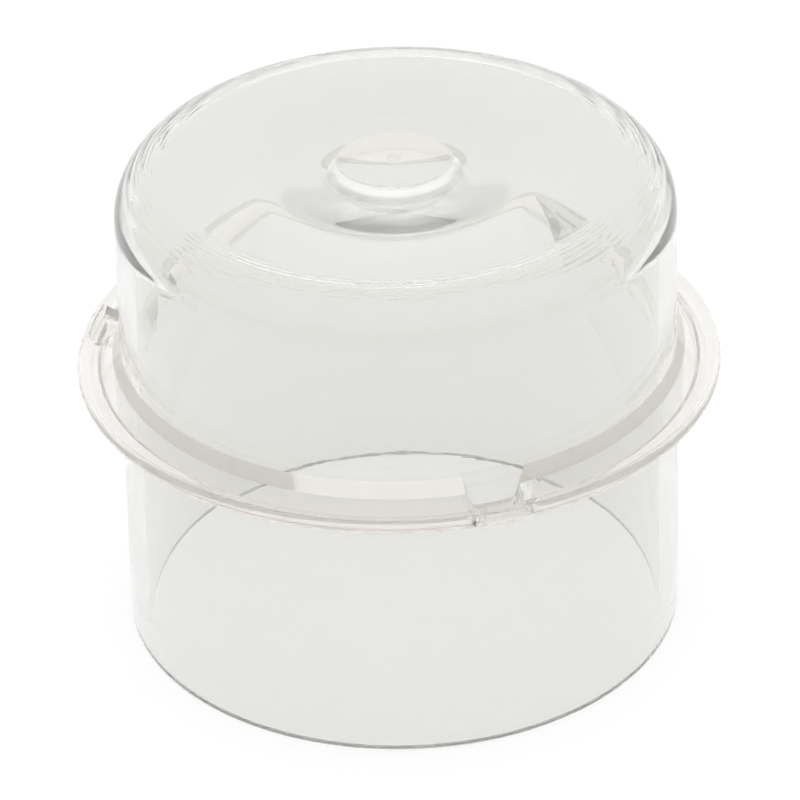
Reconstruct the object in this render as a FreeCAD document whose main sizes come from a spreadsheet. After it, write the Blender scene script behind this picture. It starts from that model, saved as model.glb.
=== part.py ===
import FreeCAD, Part
import math
import os

import Sketcher
from FreeCAD import Placement, Rotation, Vector

# Clear measuring cup that also plugs the filling hole of a blender's lid.
# Frame: origin at the centre of the open rim, +Z up through the closed end, millimetres.
# The cup is one moulding, divided here at its natural boundaries. Its members meet face to face.

os.makedirs("parts", exist_ok=True)
doc = FreeCAD.newDocument("measuring_cup")

# ---------------------------------------------------------------- driving dimensions
DIMENSIONS = [
    ("cup_height", 50.5, "open rim to the crest of the closed end"),
    ("rim_radius", 28.0, "outside of the wall at the open rim"),
    ("crown_radius", 27.55, "outside of the wall where the shoulder starts"),
    ("wall_gauge", 1.8, "thickness of the wall"),
    ("rim_round", 0.4, "radius of both edges of the open rim"),
    ("shoulder_radius", 5.3, "outside round between the wall and the crest"),
    ("dish_depth", 1.25, "floor of the dished end below its crest"),
    ("dish_radius", 7.2, "edge of the flat middle of the dish"),
    ("end_gauge", 1.6, "thickness of the closed end at its crest"),
    ("end_middle_gauge", 2.5, "thickness of the closed end at its middle"),
    ("boss_root_radius", 6.6, "gate boss at its foot"),
    ("boss_top_radius", 5.8, "gate boss at its top edge"),
    ("boss_rise", 1.35, "top edge of the gate boss above the floor of the dish"),
    ("boss_crown", 0.1, "extra height of the boss at its middle"),
    ("collar_radius", 32.0, "outside of the collar"),
    ("collar_gauge", 1.4, "thickness of the collar's lip"),
    ("collar_root_height", 31.2, "top of the collar at the wall"),
    ("collar_foot_height", 29.1, "underside of the collar at the wall"),
    ("collar_knee_radius", 29.95, "line where the collar's cone meets its lip, on top"),
    ("collar_knee_height", 28.75, "top of the collar at the knee"),
    ("collar_hollow_radius", 28.9, "corner of the hollow under the collar's cone"),
    ("collar_lip_height", 29.25, "top of the lip beside its rounded edge"),
    ("lug_count", 3, "lugs, evenly spaced around the collar"),
    ("lug_first_angle", 19.0, "first lug, in degrees from -Y towards +X"),
    ("lug_inner_radius", 27.0, "inner end of the blank of a lug, within the wall"),
    ("lug_outer_radius", 30.9, "outer end of a lug"),
    ("lug_blank_height", 31.6, "top of the blank of a lug, above the collar"),
    ("lug_bottom_height", 26.75, "bottom of a lug"),
    ("lug_top_width", 7.8, "width of a lug at the top of its blank"),
    ("lug_bottom_width", 3.8, "width of a lug at its bottom"),
    ("lug_gauge", 0.85, "thickness of the sides, floor and end of a lug"),
]

sheet = doc.addObject("Spreadsheet::Sheet", "dims")
for row, (alias, value, note) in enumerate(DIMENSIONS, start=1):
    sheet.set(f"A{row}", note)
    sheet.set(f"B{row}", str(value))
    sheet.setAlias(f"B{row}", alias)
doc.recompute()


def bound(expression):
    """An expression in the sheet's names, as the other objects of the document refer to it."""
    for alias in sorted((alias for alias, _, _ in DIMENSIONS), key=len, reverse=True):
        expression = expression.replace(f"<{alias}>", f"dims.{alias}")
    return expression


def size(expression):
    """The present value of such an expression."""
    return float(sheet.evalExpression(bound(expression)))


def wall_at(height):
    """Expression for the outside radius of the drafted wall at a height."""
    draft = "(<crown_radius> - <rim_radius>) / (<cup_height> - <shoulder_radius>)"
    return f"(<rim_radius> + {draft} * ({height}))"


# ---------------------------------------------------------------- outlines
ROOT_POINT = -1
HEIGHT_AXIS = -2
RADIUS_AXIS = -1
START, END = 1, 2
LEFT, RIGHT = 1, -1


def arc_between(start, end, radius, side):
    """The shorter arc from start to end, bulging to the LEFT or RIGHT of the way from start to end."""
    chord = end - start
    across = Vector(-chord.y, chord.x, 0).normalize()
    half = chord.Length / 2
    rise = radius - math.sqrt(max(radius * radius - half * half, 0.0))
    return Part.Arc(start, (start + end) * 0.5 + across * (side * rise), end)


def hold_point(sketch, geometry, point, radius, height, label):
    """Fix a point of the outline at a radius and a height that follow the sheet."""
    if radius == "0":
        sketch.addConstraint(Sketcher.Constraint("PointOnObject", geometry, point, HEIGHT_AXIS))
    else:
        place = Sketcher.Constraint("DistanceX", ROOT_POINT, 1, geometry, point, size(radius))
        index = sketch.addConstraint(place)
        sketch.renameConstraint(index, f"{label}_radius")
        sketch.setExpression(f"Constraints.{label}_radius", bound(radius))
    if height == "0":
        sketch.addConstraint(Sketcher.Constraint("PointOnObject", geometry, point, RADIUS_AXIS))
    else:
        place = Sketcher.Constraint("DistanceY", ROOT_POINT, 1, geometry, point, size(height))
        index = sketch.addConstraint(place)
        sketch.renameConstraint(index, f"{label}_height")
        sketch.setExpression(f"Constraints.{label}_height", bound(height))


def turned_body(name, corners):
    """A body of revolution about Z.

    Each corner is (label, radius, height) and leads to the next one by a straight line, or
    (label, radius, height, arc radius, side) and leads to it by an arc.
    """
    body = doc.addObject("PartDesign::Body", name)
    sketch = body.newObject("Sketcher::SketchObject", f"{name}_outline")
    plane = next(item for item in body.Origin.OriginFeatures if item.Role == "XZ_Plane")
    sketch.AttachmentSupport = [(plane, "")]
    sketch.MapMode = "FlatFace"
    points = [Vector(size(corner[1]), size(corner[2]), 0) for corner in corners]
    starts, ends = [], []
    for index, corner in enumerate(corners):
        start = points[index]
        end = points[(index + 1) % len(points)]
        if len(corner) == 3:
            curve = Part.LineSegment(start, end)
        else:
            curve = arc_between(start, end, size(corner[3]), corner[4])
        geometry = sketch.addGeometry(curve, False)
        forward = (sketch.getPoint(geometry, START) - start).Length < 1e-6
        starts.append((geometry, START if forward else END))
        ends.append((geometry, END if forward else START))
    for index, corner in enumerate(corners):
        sketch.addConstraint(Sketcher.Constraint("Coincident", *ends[index - 1], *starts[index]))
        hold_point(sketch, *starts[index], corner[1], corner[2], corner[0])
        if len(corner) > 3:
            bend = Sketcher.Constraint("Radius", starts[index][0], size(corner[3]))
            sketch.renameConstraint(sketch.addConstraint(bend), f"{corner[0]}_arc")
            sketch.setExpression(f"Constraints.{corner[0]}_arc", bound(corner[3]))
    turn = body.newObject("PartDesign::Revolution", f"{name}_turn")
    turn.Profile = sketch
    turn.ReferenceAxis = (sketch, ["V_Axis"])
    turn.Angle = 360
    body.Tip = turn
    body.Label = name
    return body


# ---------------------------------------------------------------- wall and closed end
SHOULDER_START = "<cup_height> - <shoulder_radius>"
DISH_FLOOR = "<cup_height> - <dish_depth>"
CREST_RADIUS = "<crown_radius> - <shoulder_radius>"


def make_side_wall():
    """Drafted tube from the open rim to the start of the shoulder."""
    rim_outside = wall_at("<rim_round>")
    return turned_body("side_wall", [
        ("rim_outer", f"{rim_outside} - <rim_round>", "0", "<rim_round>", RIGHT),
        ("wall_outer", rim_outside, "<rim_round>"),
        ("crown_outer", "<crown_radius>", SHOULDER_START),
        ("crown_inner", "<crown_radius> - <wall_gauge>", SHOULDER_START),
        ("wall_inner", f"{rim_outside} - <wall_gauge>", "<rim_round>", "<rim_round>", RIGHT),
        ("rim_inner", f"{rim_outside} - <wall_gauge> + <rim_round>", "0"),
    ])


def s_curve_arc(run, drop):
    """Expression for the radius of two equal arcs that join two levels, both ends level."""
    return f"({run} * {run} + {drop} * {drop}) / (4 * {drop})"


def make_closed_end():
    """Rounded shoulder, crest and the shallow dish inside it, thicker towards the middle."""
    bank = f"({CREST_RADIUS} - <dish_radius>)"
    bank_arc = s_curve_arc(bank, "<dish_depth>")
    bank_middle = f"({CREST_RADIUS} + <dish_radius>) / 2"
    under_drop = "(<dish_depth> + <end_middle_gauge> - <end_gauge>)"
    under_arc = s_curve_arc(f"({CREST_RADIUS})", under_drop)
    inner_arc = "(<shoulder_radius> - <wall_gauge>)"
    return turned_body("closed_end", [
        ("floor_middle", "0", DISH_FLOOR),
        ("floor_edge", "<dish_radius>", DISH_FLOOR, bank_arc, RIGHT),
        ("bank", bank_middle, "<cup_height> - <dish_depth> / 2", bank_arc, LEFT),
        ("crest", CREST_RADIUS, "<cup_height>", "<shoulder_radius>", LEFT),
        ("crown_outer", "<crown_radius>", SHOULDER_START),
        ("crown_inner", "<crown_radius> - <wall_gauge>", SHOULDER_START),
        ("inner_round", "<crown_radius> - <wall_gauge>", f"<cup_height> - <end_gauge> - {inner_arc}",
         inner_arc, RIGHT),
        ("under_crest", CREST_RADIUS, "<cup_height> - <end_gauge>", under_arc, RIGHT),
        ("under_bank", f"({CREST_RADIUS}) / 2", f"<cup_height> - <end_gauge> - {under_drop} / 2",
         under_arc, LEFT),
        ("under_middle", "0", f"<cup_height> - <end_gauge> - {under_drop}"),
    ])


def make_gate_boss():
    """Small boss with tapered side and slightly domed top, level with the crest."""
    dome_arc = "(<boss_top_radius> * <boss_top_radius> + <boss_crown> * <boss_crown>) / (2 * <boss_crown>)"
    return turned_body("gate_boss", [
        ("foot_middle", "0", DISH_FLOOR),
        ("foot", "<boss_root_radius>", DISH_FLOOR),
        ("top_edge", "<boss_top_radius>", f"{DISH_FLOOR} + <boss_rise>", dome_arc, RIGHT),
        ("top_middle", "0", f"{DISH_FLOOR} + <boss_rise> + <boss_crown>"),
    ])


# ---------------------------------------------------------------- collar and its lugs
LIP_RADIUS = "<collar_radius> - <collar_gauge> / 2"
COLLAR_TOP = [
    ("root", wall_at("<collar_root_height>"), "<collar_root_height>"),
    ("knee", "<collar_knee_radius>", "<collar_knee_height>"),
]


def make_collar_ring():
    """Thin flange: a steep cone off the wall, a lip beyond the knee and a full round edge."""
    lip_bottom = "<collar_lip_height> - <collar_gauge>"
    return turned_body("collar_ring", COLLAR_TOP + [
        ("lip_top", LIP_RADIUS, "<collar_lip_height>", "<collar_gauge> / 2", LEFT),
        ("lip_bottom", LIP_RADIUS, lip_bottom),
        ("hollow", "<collar_hollow_radius>", lip_bottom),
        ("foot", wall_at("<collar_foot_height>"), "<collar_foot_height>"),
    ])


def make_lug_ring():
    """Ring that the lugs are cut from: under the top of the collar, outside the wall."""
    return turned_body("lug_ring", COLLAR_TOP + [
        ("rim_top", LIP_RADIUS, "<collar_lip_height>"),
        ("rim_bottom", LIP_RADIUS, "<lug_bottom_height>"),
        ("foot", wall_at("<lug_bottom_height>"), "<lug_bottom_height>"),
    ])


def make_lug_wedge(name, angle, inset):
    """Block that narrows downwards and points outwards at an angle, smaller than a lug by an inset."""
    wedge = doc.addObject("Part::Wedge", name)
    half_bottom = f"(<lug_bottom_width> / 2 - {inset})"
    half_top = f"(<lug_top_width> / 2 - {inset})"
    sizes = {
        "Xmin": f"0 - {half_bottom}",
        "Xmax": half_bottom,
        "X2min": f"0 - {half_top}",
        "X2max": half_top,
        "Ymin": f"<lug_bottom_height> + {inset}",
        "Ymax": "<lug_blank_height>",
        "Zmin": "<lug_inner_radius>",
        "Zmax": f"<lug_outer_radius> - {inset}",
        "Z2min": "<lug_inner_radius>",
        "Z2max": f"<lug_outer_radius> - {inset}",
    }
    for name_of_size, expression in sizes.items():
        setattr(wedge, name_of_size, size(expression))
        wedge.setExpression(name_of_size, bound(expression))
    upright = Rotation(Vector(1, 0, 0), 90)
    wedge.Placement = Placement(Vector(), Rotation(Vector(0, 0, 1), angle) * upright)
    return wedge


def make_lugs_and_collar():
    """Three hollow lugs hang through windows in the collar. Returns them and the collar around them."""
    ring = make_lug_ring()
    count = int(size("<lug_count>"))
    lugs, windows = [], []
    for index in range(count):
        number = index + 1
        angle = size("<lug_first_angle>") + index * 360 / count
        window = make_lug_wedge(f"lug_window_{number}", angle, "0")
        pocket = make_lug_wedge(f"lug_pocket_{number}", angle, "<lug_gauge>")
        blank = doc.addObject("Part::Common", f"lug_blank_{number}")
        blank.Base = ring
        blank.Tool = window
        lug = doc.addObject("Part::Cut", f"lug_{number}")
        lug.Base = blank
        lug.Tool = pocket
        lug.Label = f"collar_lug_{number}"
        lugs.append(lug)
        windows.append(window)
    all_windows = doc.addObject("Part::MultiFuse", "lug_windows")
    all_windows.Shapes = windows
    collar = doc.addObject("Part::Cut", "collar_cut")
    collar.Base = make_collar_ring()
    collar.Tool = all_windows
    collar.Label = "collar"
    return lugs + [collar]


# ---------------------------------------------------------------- build, test and write
members = [make_side_wall(), make_closed_end(), make_gate_boss()] + make_lugs_and_collar()
doc.recompute()

for item in doc.Objects:
    if {"Invalid", "Error"} & set(item.State):
        raise RuntimeError(f"{item.Label} did not build: {item.State}")
for member in members:
    shape = member.Shape
    if shape.isNull() or not shape.isValid() or len(shape.Solids) != 1:
        raise RuntimeError(f"{member.Label} is not one valid solid")
    print(f"{member.Label}: {shape.Volume / 1000:.3f} ml")
    shape.exportStep(f"parts/{member.Label}.step")
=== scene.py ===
import math

import bmesh
import bpy
import numpy as np
from mathutils import Matrix, Vector


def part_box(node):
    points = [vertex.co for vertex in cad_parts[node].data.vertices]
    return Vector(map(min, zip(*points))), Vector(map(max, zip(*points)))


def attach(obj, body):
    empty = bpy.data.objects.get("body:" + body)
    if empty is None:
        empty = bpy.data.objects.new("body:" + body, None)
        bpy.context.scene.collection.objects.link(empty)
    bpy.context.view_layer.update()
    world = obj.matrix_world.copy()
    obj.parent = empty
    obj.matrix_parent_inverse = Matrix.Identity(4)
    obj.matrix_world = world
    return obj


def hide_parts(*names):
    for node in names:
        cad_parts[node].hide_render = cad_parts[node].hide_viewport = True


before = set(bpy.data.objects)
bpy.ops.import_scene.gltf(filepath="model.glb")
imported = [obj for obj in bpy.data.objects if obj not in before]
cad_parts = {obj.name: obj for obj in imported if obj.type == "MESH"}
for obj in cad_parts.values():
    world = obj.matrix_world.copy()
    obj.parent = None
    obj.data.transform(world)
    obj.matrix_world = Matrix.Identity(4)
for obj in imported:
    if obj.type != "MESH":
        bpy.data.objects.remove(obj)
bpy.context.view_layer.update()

# Clear measuring cup standing on its open rim. All lengths are in metres, angles in degrees.
# Angles around the cup start at -Y, the side nearest the camera, and grow towards +X.

MM = 0.001

# ---------------------------------------------------------------- sizes read from the frame
wall_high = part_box("side_wall")[1]
end_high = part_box("closed_end")[1]
boss_low, boss_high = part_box("gate_boss")
collar_low, collar_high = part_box("collar")
lug_low, lug_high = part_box("collar_lug_1")

RIM_RADIUS = wall_high.x
SHOULDER_START = wall_high.z
CROWN_RADIUS = end_high.x
CREST_HEIGHT = end_high.z
SHOULDER_RADIUS = CREST_HEIGHT - SHOULDER_START
CREST_RADIUS = CROWN_RADIUS - SHOULDER_RADIUS
DISH_FLOOR = boss_low.z
BOSS_ROOT_RADIUS = boss_high.x
BOSS_TOP = boss_high.z
COLLAR_RADIUS = collar_high.x
COLLAR_ROOT = collar_high.z
LIP_BOTTOM = collar_low.z
LUG_BOTTOM = lug_low.z
lug_middle = (lug_low + lug_high) / 2
FIRST_LUG = math.degrees(math.atan2(lug_middle.x, -lug_middle.y))

# ---------------------------------------------------------------- sizes of the moulding's section
WALL_GAUGE = 1.8 * MM
RIM_ROUND = 0.4 * MM
DISH_RADIUS = 7.2 * MM
END_GAUGE = 1.6 * MM
END_MIDDLE_GAUGE = 2.5 * MM
BOSS_TOP_RADIUS = 5.8 * MM
BOSS_CROWN = 0.1 * MM
LIP_GAUGE = 1.4 * MM
KNEE_RADIUS = 29.95 * MM
KNEE_HEIGHT = 28.75 * MM
COLLAR_FOOT = 29.1 * MM
HOLLOW_RADIUS = 28.9 * MM
LUG_COUNT = 3
LUG_REACH = 30.9 * MM
LUG_GAUGE = 0.85 * MM
LUG_HALF_ANGLE = 9.0
POCKET_FLAT, POCKET_END = 2.5 * MM, 3.3 * MM            # half widths of a lug's pocket: floor and mouth
UNDERSIDE_FLAT, UNDERSIDE_END = 1.5 * MM, 3.1 * MM      # and of its underside: bottom and top
POCKET_RISE = 0.25 * MM         # a pocket's floor climbs by this much at the wall
UNDERSIDE_RISE = 0.15 * MM      # and so does a lug's underside
POCKET_FLOOR_SHARE = 0.78       # part of the collar's top rows that lie on a pocket's floor
LUG_ROUND = 0.5 * MM

TURN_STEPS = 360
STEP = 360 / TURN_STEPS
SHARP_ANGLE = 30


def wall_radius(height):
    """Outside of the drafted wall at a height."""
    return RIM_RADIUS + (CROWN_RADIUS - RIM_RADIUS) * height / SHOULDER_START


# ---------------------------------------------------------------- section curves
def arc(centre, radius, start, end, steps):
    """Points of an arc in the (radius, height) plane, from one angle to another."""
    turns = np.radians(np.linspace(start, end, steps + 1))
    return [(centre[0] + radius * math.cos(a), centre[1] + radius * math.sin(a)) for a in turns]


def s_curve(start, end, steps):
    """Two equal arcs that leave start level and arrive at end level, as points."""
    run = end[0] - start[0]
    drop = end[1] - start[1]
    radius = (run * run + drop * drop) / (4 * abs(drop))
    points = []
    for share in np.linspace(0, 1, steps + 1):
        across = min(share, 1 - share) * run
        rise = radius - math.sqrt(radius * radius - across * across)
        rise = math.copysign(rise, drop)
        points.append((start[0] + share * run, start[1] + rise if share <= 0.5 else end[1] - rise))
    return points


def straight(start, end, steps):
    """Evenly spaced points from start to end."""
    return [tuple(np.array(start) + (np.array(end) - np.array(start)) * k / steps)
            for k in range(steps + 1)]


# ---------------------------------------------------------------- turned skins
# Material indices: the moulding's surface, where two members meet, and the root of the collar, which is hazed
# and carries a painted glow.
SKIN, JOINT, ROOT = 0, 1, 2


def at_angle(angle, radius, height):
    turn = math.radians(angle)
    return (radius * math.sin(turn), -radius * math.cos(turn), height)


def turned_mesh(name, strips, angles, whole):
    """A closed skin swept around the axis.

    strips is a list of (rows, material index). A row is one (radius, height) for every angle, or a
    function of the angle that gives one. Strips run on from each other, the last back to the first
    unless both ends are on the axis. whole says that the angles go all the way round.
    """
    rows, kinds = [], []
    for points, kind in strips:
        for point in points:
            rows.append(point)
            kinds.append(kind)
    grid = [[point(a) if callable(point) else point for a in angles] for point in rows]
    verts, faces, face_kinds, ids = [], [], [], []
    for row in grid:
        if max(point[0] for point in row) < 1e-7:
            ids.append([len(verts)] * len(angles))
            verts.append((0, 0, row[0][1]))
        else:
            ids.append(list(range(len(verts), len(verts) + len(angles))))
            verts += [at_angle(a, *point) for a, point in zip(angles, row)]
    on_axis = max(p[0] for p in grid[0]) < 1e-7
    row_pairs = len(rows) - 1 if on_axis else len(rows)
    columns = len(angles) if whole else len(angles) - 1
    for r in range(row_pairs):
        below = ids[(r + 1) % len(rows)]
        for c in range(columns):
            d = (c + 1) % len(angles)
            corners = list(dict.fromkeys([ids[r][c], ids[r][d], below[d], below[c]]))
            if len(corners) > 2:
                faces.append(corners)
                face_kinds.append(kinds[r])
    if not whole:
        faces.append([row[0] for row in ids])
        faces.append([row[-1] for row in reversed(ids)])
        face_kinds += [JOINT, JOINT]
    mesh = bpy.data.meshes.new(name)
    mesh.from_pydata(verts, [], faces)
    mesh.materials.append(PLASTIC)
    mesh.materials.append(THROUGH)
    mesh.materials.append(ROOT_HAZE_AND_PAINTED_GLOW)
    mesh.polygons.foreach_set("material_index", face_kinds)
    mesh.update()
    piece = bpy.data.objects.new(name, mesh)
    bpy.context.scene.collection.objects.link(piece)
    return piece


def face_outwards(piece):
    """Turn every face outwards and shade smooth, but keep the moulding's real edges sharp."""
    work = bmesh.new()
    work.from_mesh(piece.data)
    bmesh.ops.remove_doubles(work, verts=work.verts, dist=1e-8)
    bmesh.ops.recalc_face_normals(work, faces=work.faces)
    work.to_mesh(piece.data)
    work.free()
    piece.data.shade_smooth()
    piece.data.set_sharp_from_angle(angle=math.radians(SHARP_ANGLE))


# ---------------------------------------------------------------- collar section around the cup
def smooth(value):
    value = min(max(value, 0.0), 1.0)
    return value * value * (3 - 2 * value)


def lug_share(angle, inner, outer):
    """1 over the middle of a lug and 0 clear of it, falling between two distances along the collar."""
    best = 0.0
    for index in range(LUG_COUNT):
        middle = FIRST_LUG + index * 360 / LUG_COUNT
        apart = (angle - middle + 180) % 360 - 180
        along = abs(math.radians(apart)) * KNEE_RADIUS
        best = max(best, smooth((outer - along) / (outer - inner)))
    return best


def pocket_share(angle):
    return lug_share(angle, POCKET_FLAT, POCKET_END)


def underside_share(angle):
    return lug_share(angle, UNDERSIDE_FLAT, UNDERSIDE_END)


POCKET_FLOOR = LUG_BOTTOM + LUG_GAUGE
LIP_MIDDLE = LIP_BOTTOM + LIP_GAUGE / 2
LIP_TOP = LIP_BOTTOM + LIP_GAUGE
LIP_EDGE = COLLAR_RADIUS - LIP_GAUGE / 2


def root_height(angle):
    return COLLAR_ROOT + (POCKET_FLOOR + POCKET_RISE - COLLAR_ROOT) * pocket_share(angle)


def foot_height(angle):
    return COLLAR_FOOT + (LUG_BOTTOM + UNDERSIDE_RISE - COLLAR_FOOT) * underside_share(angle)


def between(first, second, share):
    return tuple(a + (b - a) * share for a, b in zip(first, second))


CONE_STEPS = 8
LIP_STEPS = 5
POCKET_OUT = LUG_REACH - LUG_GAUGE


def top_rows():
    """Top of the collar from the wall to the lip: a cone and a lip, or the floor of a pocket."""
    rows = []
    count = CONE_STEPS + LIP_STEPS
    for k in range(count + 1):
        def row(angle, k=k):
            root = (wall_radius(COLLAR_ROOT), COLLAR_ROOT)
            if k <= CONE_STEPS:
                plain = between(root, (KNEE_RADIUS, KNEE_HEIGHT), k / CONE_STEPS)
            else:
                plain = between((KNEE_RADIUS, KNEE_HEIGHT), (LIP_EDGE, LIP_TOP), (k - CONE_STEPS) / LIP_STEPS)
            share = k / count
            if share < POCKET_FLOOR_SHARE:
                low = between((wall_radius(POCKET_FLOOR), POCKET_FLOOR + POCKET_RISE),
                              (POCKET_OUT, POCKET_FLOOR), smooth(share / POCKET_FLOOR_SHARE))
            else:
                low = between((POCKET_OUT, POCKET_FLOOR), (LIP_EDGE, LIP_TOP),
                              (share - POCKET_FLOOR_SHARE) / (1 - POCKET_FLOOR_SHARE))
            point = between(plain, low, pocket_share(angle))
            if k == 0:
                point = (wall_radius(root_height(angle)), root_height(angle))
            return point
        rows.append(row)
    return rows


def bottom_rows():
    """Underside of the collar from the lip to the wall: flat, then the hollow, or a lug hanging down."""
    rows = []
    plain_points = (straight((LIP_EDGE, LIP_BOTTOM), (HOLLOW_RADIUS, LIP_BOTTOM), 6)
                    + straight((HOLLOW_RADIUS, LIP_BOTTOM), (wall_radius(COLLAR_FOOT), COLLAR_FOOT), 4)[1:])
    low_points = ([(LIP_EDGE, LIP_BOTTOM)]
                  + [(LUG_REACH, LIP_BOTTOM - 0.1 * MM)]
                  + arc((LUG_REACH - LUG_ROUND, LUG_BOTTOM + LUG_ROUND), LUG_ROUND, 0, -90, 4)
                  + straight((LUG_REACH - LUG_ROUND, LUG_BOTTOM),
                             (wall_radius(LUG_BOTTOM), LUG_BOTTOM + UNDERSIDE_RISE), 4)[1:])
    for plain, low in zip(plain_points, low_points):
        def row(angle, plain=plain, low=low):
            return between(plain, low, underside_share(angle))
        rows.append(row)

    def foot(angle):
        return (wall_radius(foot_height(angle)), foot_height(angle))
    rows[-1] = foot
    return rows


def collar_strips():
    lip_edge = arc((LIP_EDGE, LIP_MIDDLE), LIP_GAUGE / 2, 90, -90, 12)[1:-1]
    bottom = bottom_rows()
    return [(top_rows(), SKIN), (lip_edge, SKIN), (bottom[:-1], SKIN), (bottom[-1:], ROOT)]


# ---------------------------------------------------------------- the members of the moulding
ALL_ROUND = [k * STEP for k in range(TURN_STEPS)]


def make_side_wall():
    """Drafted tube. The collar's root follows its own line around the outside."""
    def above_collar(share):
        def row(angle):
            height = SHOULDER_START + (root_height(angle) - SHOULDER_START) * share
            return (wall_radius(height), height)
        return row

    def below_collar(share):
        def row(angle):
            height = foot_height(angle) + (RIM_ROUND - foot_height(angle)) * share
            return (wall_radius(height), height)
        return row

    steps = 10
    rim_outside = wall_radius(RIM_ROUND)
    rim_inside = rim_outside - WALL_GAUGE
    upper = [above_collar(k / steps) for k in range(steps)]
    lower = [below_collar(k / steps) for k in range(steps)]
    outer_round = arc((rim_outside - RIM_ROUND, RIM_ROUND), RIM_ROUND, 0, -90, 5)
    inner_round = arc((rim_inside + RIM_ROUND, RIM_ROUND), RIM_ROUND, -90, -180, 5)
    inside = straight((rim_inside, RIM_ROUND), (CROWN_RADIUS - WALL_GAUGE, SHOULDER_START), 12)[1:]
    strips = [
        (upper, SKIN),
        ([above_collar(1)], ROOT),
        (lower, SKIN),
        (outer_round + inner_round + inside[:-1], SKIN),
        (inside[-1:], JOINT),
    ]
    return turned_mesh("side_wall_skin", strips, ALL_ROUND, True)


def make_closed_end():
    """Shallow dish, crest and shoulder, with the S-shaped underside."""
    inner_round = SHOULDER_RADIUS - WALL_GAUGE
    under_crest = CREST_HEIGHT - END_GAUGE
    under_middle = DISH_FLOOR - END_MIDDLE_GAUGE
    under = s_curve((CREST_RADIUS, under_crest), (0.0, under_middle), 60)
    shoulder = arc((CREST_RADIUS, SHOULDER_START), SHOULDER_RADIUS, 90, 0, 32)
    inner_shoulder = arc((CREST_RADIUS, under_crest - inner_round), inner_round, 0, 90, 28)
    strips = [
        ([(0.0, DISH_FLOOR)], JOINT),
        ([(BOSS_ROOT_RADIUS, DISH_FLOOR)], SKIN),
        (s_curve((DISH_RADIUS, DISH_FLOOR), (CREST_RADIUS, CREST_HEIGHT), 48)[:-1], SKIN),
        (shoulder[:-1], SKIN),
        (shoulder[-1:], JOINT),
        ([(CROWN_RADIUS - WALL_GAUGE, SHOULDER_START)], SKIN),
        (inner_shoulder, SKIN),
        (under[1:], SKIN),
    ]
    return turned_mesh("closed_end_skin", strips, ALL_ROUND, True)


def make_gate_boss():
    """Domed boss with a rounded top edge and the small dimple that the gate left."""
    edge_round = 0.22 * MM
    dimple_radius = 0.55 * MM
    dimple_depth = 0.06 * MM
    top_edge = BOSS_TOP - BOSS_CROWN
    dome = []
    for radius in np.linspace(0, BOSS_TOP_RADIUS - edge_round, 22):
        height = BOSS_TOP - BOSS_CROWN * (radius / BOSS_TOP_RADIUS) ** 2
        if radius < dimple_radius:
            height -= dimple_depth * math.cos(radius / dimple_radius * math.pi / 2)
        dome.append((float(radius), height))
    corner = arc((BOSS_TOP_RADIUS - edge_round, top_edge - edge_round), edge_round, 84, 20, 5)
    side_steps = 8
    side_hollow = 0.12 * MM
    side = straight(corner[-1], (BOSS_ROOT_RADIUS, DISH_FLOOR), side_steps)[1:]
    side = [(radius - side_hollow * math.sin(math.pi * k / side_steps), height)
            for k, (radius, height) in enumerate(side, start=1)]
    strips = [
        (dome, SKIN),
        (corner, SKIN),
        (side[:-1], SKIN),
        (side[-1:], JOINT),
        ([(0.0, DISH_FLOOR)], JOINT),
    ]
    return turned_mesh("gate_boss_skin", strips, ALL_ROUND, True)


def lug_angles(index):
    """Angles that a lug's stretch of the collar covers, on the same steps as the other skins."""
    middle = round((FIRST_LUG + index * 360 / LUG_COUNT) / STEP)
    half = round(LUG_HALF_ANGLE / STEP)
    return [(middle + k) * STEP for k in range(-half, half + 1)]


def make_lug(index):
    return turned_mesh(f"collar_lug_skin_{index + 1}", collar_strips(), lug_angles(index), False)


def make_collar():
    """The collar between its lugs, as one piece of three stretches."""
    stretches = []
    for index in range(LUG_COUNT):
        start = lug_angles(index)[-1]
        end = lug_angles((index + 1) % LUG_COUNT)[0] + (360 if index == LUG_COUNT - 1 else 0)
        angles = [start + k * STEP for k in range(round((end - start) / STEP) + 1)]
        stretches.append(turned_mesh(f"collar_stretch_{index}", collar_strips(), angles, False))
    bpy.ops.object.select_all(action="DESELECT")
    for stretch in stretches:
        stretch.select_set(True)
    bpy.context.view_layer.objects.active = stretches[0]
    bpy.ops.object.join()
    stretches[0].name = "collar_skin"
    return stretches[0]


# ---------------------------------------------------------------- materials
REFRACTIVE_INDEX = 1.58
CLARITY = 0.93
WALL_TINT = (0.868, 0.870, 0.848, 1)
# The collar's warmer tint is painted light: the warm horizon light it shows, put into its colour.
COLLAR_PAINTED_WARM_TINT = (0.885, 0.870, 0.845, 1)
ROOT_HAZE = (1.0, 0.985, 0.965, 1)
HAZE_AND_GLOW_SHARE = 0.4
# Painted glow at the collar's root: an emission standing in for the light trapped in the wall.
PAINTED_GLOW_COLOR = (1.0, 0.95, 0.89, 1)
PAINTED_GLOW_STRENGTH = 0.36
RING_PITCH = 0.42 * MM
RING_DEPTH = 0.006 * MM
FLOW_DEPTH = 0.003 * MM
FLOOR_GREY = (0.25, 0.25, 0.25, 1)
FLOOR_GLOW = 0.76


def new_material(name):
    material = bpy.data.materials.new(name)
    material.use_nodes = True
    return material, material.node_tree.nodes, material.node_tree.links


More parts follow.
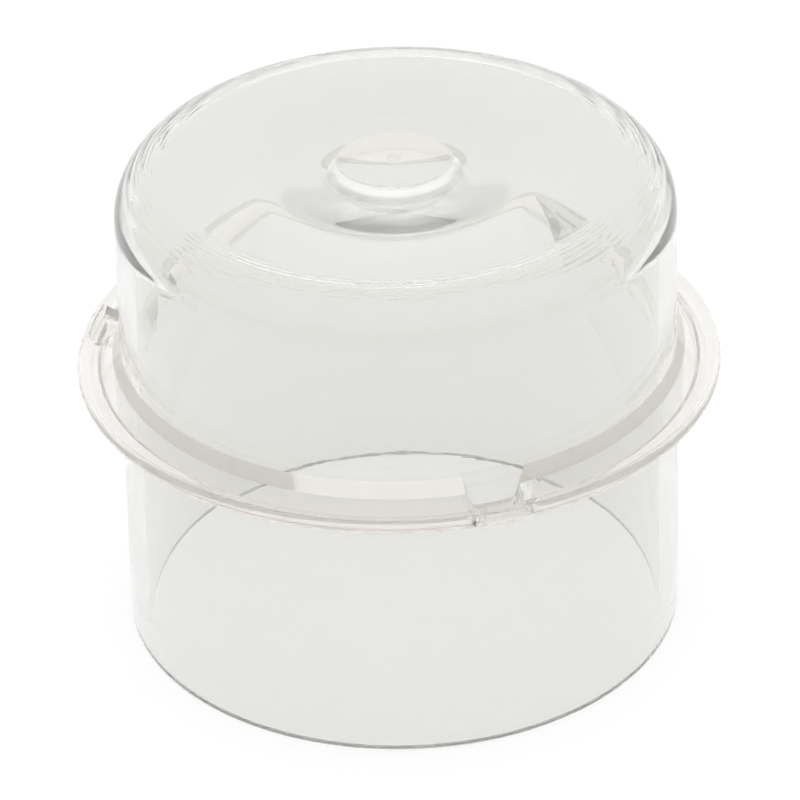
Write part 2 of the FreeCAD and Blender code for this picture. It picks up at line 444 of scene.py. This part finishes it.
def clear_plastic():
    """Clear moulded plastic: a faint haze, flow rings on the shoulder, and in the collar a warmer tint that
    is painted warm light from the low horizon.
    """
    material, nodes, links = new_material("clear_moulded_plastic")
    shader = nodes["Principled BSDF"]
    shader.inputs["IOR"].default_value = REFRACTIVE_INDEX
    shader.inputs["Transmission Weight"].default_value = CLARITY
    place = nodes.new("ShaderNodeTexCoord")
    split = nodes.new("ShaderNodeSeparateXYZ")
    links.new(place.outputs["Object"], split.inputs["Vector"])

    def maths(operation, first, second):
        node = nodes.new("ShaderNodeMath")
        node.operation = operation
        for socket, value in zip(node.inputs, (first, second)):
            if isinstance(value, (int, float)):
                socket.default_value = value
            else:
                links.new(value, socket)
        return node.outputs["Value"]

    def ramp(value, start, end, low=0.0, high=1.0):
        node = nodes.new("ShaderNodeMapRange")
        for name, number in (("From Min", start), ("From Max", end), ("To Min", low), ("To Max", high)):
            node.inputs[name].default_value = number
        links.new(value, node.inputs["Value"])
        return node.outputs["Result"]

    def noise(scale, detail, stretch):
        smear = nodes.new("ShaderNodeMapping")
        smear.inputs["Scale"].default_value = stretch
        node = nodes.new("ShaderNodeTexNoise")
        node.inputs["Scale"].default_value = scale
        node.inputs["Detail"].default_value = detail
        links.new(place.outputs["Object"], smear.inputs["Vector"])
        links.new(smear.outputs["Vector"], node.inputs["Vector"])
        return node.outputs["Fac"]

    radius = maths("SQRT", maths("ADD", maths("POWER", split.outputs["X"], 2.0),
                                 maths("POWER", split.outputs["Y"], 2.0)), 0.0)

    # Plastic colour in the wall; in the collar a warmer colour, painted warm light from the low horizon.
    tint = nodes.new("ShaderNodeMix")
    tint.data_type = "RGBA"
    tint.inputs["A"].default_value = WALL_TINT
    tint.inputs["B"].default_value = COLLAR_PAINTED_WARM_TINT
    links.new(ramp(radius, 28.1 * MM, 29.2 * MM), tint.inputs["Factor"])
    links.new(tint.outputs["Result"], shader.inputs["Base Color"])

    links.new(ramp(noise(420, 6, (1, 1, 1)), 0.55, 0.8, 0.0, 0.05), shader.inputs["Roughness"])

    rings = maths("SINE", maths("ADD", maths("MULTIPLY", radius, 2 * math.pi / RING_PITCH),
                                maths("MULTIPLY", noise(90, 2, (1, 1, 1)), 9.0)), 0.0)
    band = maths("MULTIPLY", ramp(radius, 22.0 * MM, 23.2 * MM), ramp(radius, 25.4 * MM, 26.4 * MM, 1.0, 0.0))
    high_up = ramp(split.outputs["Z"], SHOULDER_START, SHOULDER_START + 2 * MM)
    rings = maths("MULTIPLY", maths("MULTIPLY", rings, band), maths("MULTIPLY", high_up, RING_DEPTH))
    flow = maths("MULTIPLY", noise(1, 3, (160, 160, 500)), FLOW_DEPTH)
    bump = nodes.new("ShaderNodeBump")
    bump.inputs["Strength"].default_value = 1.0
    bump.inputs["Distance"].default_value = 1.0
    links.new(maths("ADD", rings, flow), bump.inputs["Height"])
    links.new(bump.outputs["Normal"], shader.inputs["Normal"])
    return material


def inner_joint():
    """Where two members of one moulding meet there is no surface, so light goes straight through."""
    material, nodes, links = new_material("inside_of_moulding")
    nodes.remove(nodes["Principled BSDF"])
    through = nodes.new("ShaderNodeBsdfTransparent")
    links.new(through.outputs["BSDF"], nodes["Material Output"].inputs["Surface"])
    return material


def collar_root():
    """Haze where the collar's plastic flowed out of the wall, with a painted glow that stands in for the
    light trapped in the wall.
    """
    material, nodes, links = new_material("collar_root_haze_and_painted_glow")
    nodes.remove(nodes["Principled BSDF"])
    through = nodes.new("ShaderNodeBsdfTransparent")
    haze = nodes.new("ShaderNodeBsdfTranslucent")
    haze.inputs["Color"].default_value = ROOT_HAZE
    # Painted glow: emission in place of the light trapped in the wall.
    painted_glow = nodes.new("ShaderNodeEmission")
    painted_glow.inputs["Color"].default_value = PAINTED_GLOW_COLOR
    painted_glow.inputs["Strength"].default_value = PAINTED_GLOW_STRENGTH
    lit = nodes.new("ShaderNodeAddShader")
    links.new(haze.outputs["BSDF"], lit.inputs[0])
    links.new(painted_glow.outputs["Emission"], lit.inputs[1])
    mix = nodes.new("ShaderNodeMixShader")
    mix.inputs["Fac"].default_value = HAZE_AND_GLOW_SHARE
    links.new(through.outputs["BSDF"], mix.inputs[1])
    links.new(lit.outputs["Shader"], mix.inputs[2])
    links.new(mix.outputs["Shader"], nodes["Material Output"].inputs["Surface"])
    return material


def pale_floor():
    """Pale grey and partly lit from within, like a light table."""
    material, nodes, links = new_material("pale_floor")
    shader = nodes["Principled BSDF"]
    shader.inputs["Base Color"].default_value = FLOOR_GREY
    shader.inputs["Roughness"].default_value = 0.9
    shader.inputs["Emission Color"].default_value = (1, 1, 1, 1)
    shader.inputs["Emission Strength"].default_value = FLOOR_GLOW
    return material


# ---------------------------------------------------------------- build
PLASTIC = clear_plastic()
THROUGH = inner_joint()
ROOT_HAZE_AND_PAINTED_GLOW = collar_root()
MEMBERS = {
    "side_wall": make_side_wall,
    "closed_end": make_closed_end,
    "gate_boss": make_gate_boss,
    "collar": make_collar,
}
for number in range(1, LUG_COUNT + 1):
    MEMBERS[f"collar_lug_{number}"] = lambda index=number - 1: make_lug(index)

for node, make in MEMBERS.items():
    skin = make()
    face_outwards(skin)
    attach(skin, "root")
    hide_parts(node)

# ---------------------------------------------------------------- floor, light and camera
floor_mesh = bpy.data.meshes.new("floor")
FLOOR_HALF = 4.0
FLOOR_DROP = 0.02 * MM
floor_mesh.from_pydata(
    [(x, y, -FLOOR_DROP) for x, y in ((-FLOOR_HALF, -FLOOR_HALF), (FLOOR_HALF, -FLOOR_HALF),
                                      (FLOOR_HALF, FLOOR_HALF), (-FLOOR_HALF, FLOOR_HALF))],
    [], [(0, 1, 2, 3)])
floor = bpy.data.objects.new("floor", floor_mesh)
bpy.context.scene.collection.objects.link(floor)
floor_mesh.materials.append(pale_floor())


HORIZON_COLOR = (0.66, 0.64, 0.61, 1)
SKY_COLOR = (1, 1, 1, 1)
HORIZON_POSITION, SKY_POSITION = 0.50, 0.62
STUDIO_STRENGTH = 1.2


def studio_world():
    """White studio light all round, greyer and warmer towards the horizon."""
    world = bpy.data.worlds.new("studio")
    world.use_nodes = True
    nodes, links = world.node_tree.nodes, world.node_tree.links
    backdrop = nodes["Background"]
    place = nodes.new("ShaderNodeTexCoord")
    split = nodes.new("ShaderNodeSeparateXYZ")
    ramp = nodes.new("ShaderNodeValToRGB")
    ramp.color_ramp.elements[0].position = HORIZON_POSITION
    ramp.color_ramp.elements[0].color = HORIZON_COLOR
    ramp.color_ramp.elements[1].position = SKY_POSITION
    ramp.color_ramp.elements[1].color = SKY_COLOR
    half = nodes.new("ShaderNodeMapRange")
    half.inputs["From Min"].default_value = -1
    half.inputs["From Max"].default_value = 1
    links.new(place.outputs["Generated"], split.inputs["Vector"])
    links.new(split.outputs["Z"], half.inputs["Value"])
    links.new(half.outputs["Result"], ramp.inputs["Fac"])
    links.new(ramp.outputs["Color"], backdrop.inputs["Color"])
    backdrop.inputs["Strength"].default_value = STUDIO_STRENGTH
    bpy.context.scene.world = world


studio_world()

# The camera's view, in collar radii and degrees.
CAMERA_TILT = 32.05
CAMERA_ROLL = -1.384
CAMERA_DISTANCE = 15.639 * COLLAR_RADIUS
CAMERA_TARGET = Vector((0, 0, 0.7188 * COLLAR_RADIUS))
LENS = 224.8
SENSOR = 36.0


def add_camera():
    tilt = math.radians(CAMERA_TILT)
    roll = math.radians(CAMERA_ROLL)
    back = Vector((0, -math.cos(tilt), math.sin(tilt)))
    side = Vector((1, 0, 0))
    up = back.cross(side)
    right = side * math.cos(roll) + up * math.sin(roll)
    top = up * math.cos(roll) - side * math.sin(roll)
    camera = bpy.data.objects.new("camera", bpy.data.cameras.new("camera"))
    bpy.context.scene.collection.objects.link(camera)
    turn = Matrix((right, top, back)).transposed().to_4x4()
    camera.matrix_world = Matrix.Translation(CAMERA_TARGET + back * CAMERA_DISTANCE) @ turn
    camera.data.sensor_width = SENSOR
    camera.data.lens = LENS
    camera.data.clip_end = 100
    bpy.context.scene.camera = camera


add_camera()

scene = bpy.context.scene
scene.view_settings.view_transform = "Standard"
LONG_PATH = 96      # light caught in the wall needs many bounces to get out
scene.cycles.max_bounces = LONG_PATH
scene.cycles.transmission_bounces = LONG_PATH
scene.cycles.transparent_max_bounces = 64
scene.cycles.glossy_bounces = LONG_PATH
scene.cycles.diffuse_bounces = 16
scene.cycles.caustics_refractive = True
scene.cycles.caustics_reflective = True
